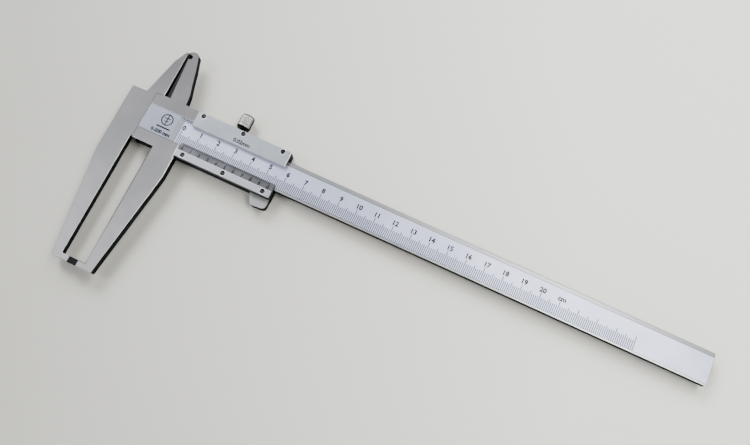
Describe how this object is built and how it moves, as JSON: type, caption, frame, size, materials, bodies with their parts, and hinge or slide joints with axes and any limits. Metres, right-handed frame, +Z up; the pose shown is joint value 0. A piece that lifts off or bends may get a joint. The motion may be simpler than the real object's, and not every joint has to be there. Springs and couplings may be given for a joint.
{
  "type": "vernier caliper",
  "caption": "Vernier caliper with long hooked lower jaws, short pointed upper jaws, a sliding vernier carriage and a knurled lock screw.",
  "frame": {"origin": "on the slider's flat back face, straight behind the main scale's zero mark at the slider's mid-height", "axes": "+X along the beam to its free end, +Y to the short upper jaws, +Z up through the scale face"},
  "size_m": [0.3234, 0.1256, 0.0086],
  "materials": {
    "ground_steel": "fine ground steel",
    "satin_chrome": "satin chrome",
    "dark_screw": "blued steel",
    "bright_screw": "knurled and nickelled",
    "spring_bronze": "rolled strip",
    "keeper_rubber": "matt black rubber"
  },
  "bodies": {
    "beam": {"beam": "ground_steel", "stop_screw": "dark_screw", "tip_keeper": "keeper_rubber"},
    "slider": {"slider_frame": "ground_steel", "cover_strip": "satin_chrome", "vernier_plate": "satin_chrome", "cover_screw_left": "dark_screw", "cover_screw_middle": "dark_screw", "cover_screw_right": "dark_screw", "vernier_screw_left": "dark_screw", "vernier_screw_middle": "dark_screw", "vernier_screw_right": "dark_screw", "leaf_spring": "spring_bronze"},
    "lock_pad": {"lock_pad": "spring_bronze"},
    "lock_screw": {"lock_screw": "bright_screw"}
  },
  "joints": [
    {"name": "slide", "type": "slide", "parent": "beam", "child": "slider", "axis": [1, 0, 0], "range_m": [0, 0.195]},
    {"name": "lock_travel", "type": "slide", "parent": "slider", "child": "lock_pad", "axis": [0, 1, 0], "range_m": [-0.0002, 0.001]},
    {"name": "lock_turn", "type": "hinge", "parent": "lock_pad", "child": "lock_screw", "pos_m": [0.027, 0.015, 0.0043], "axis": [0, 1, 0], "range_deg": [-144, 720]}
  ],
  "couplings": [
    {"joint": "lock_turn", "follows": "lock_travel", "rad_per_m": 12566}
  ]
}
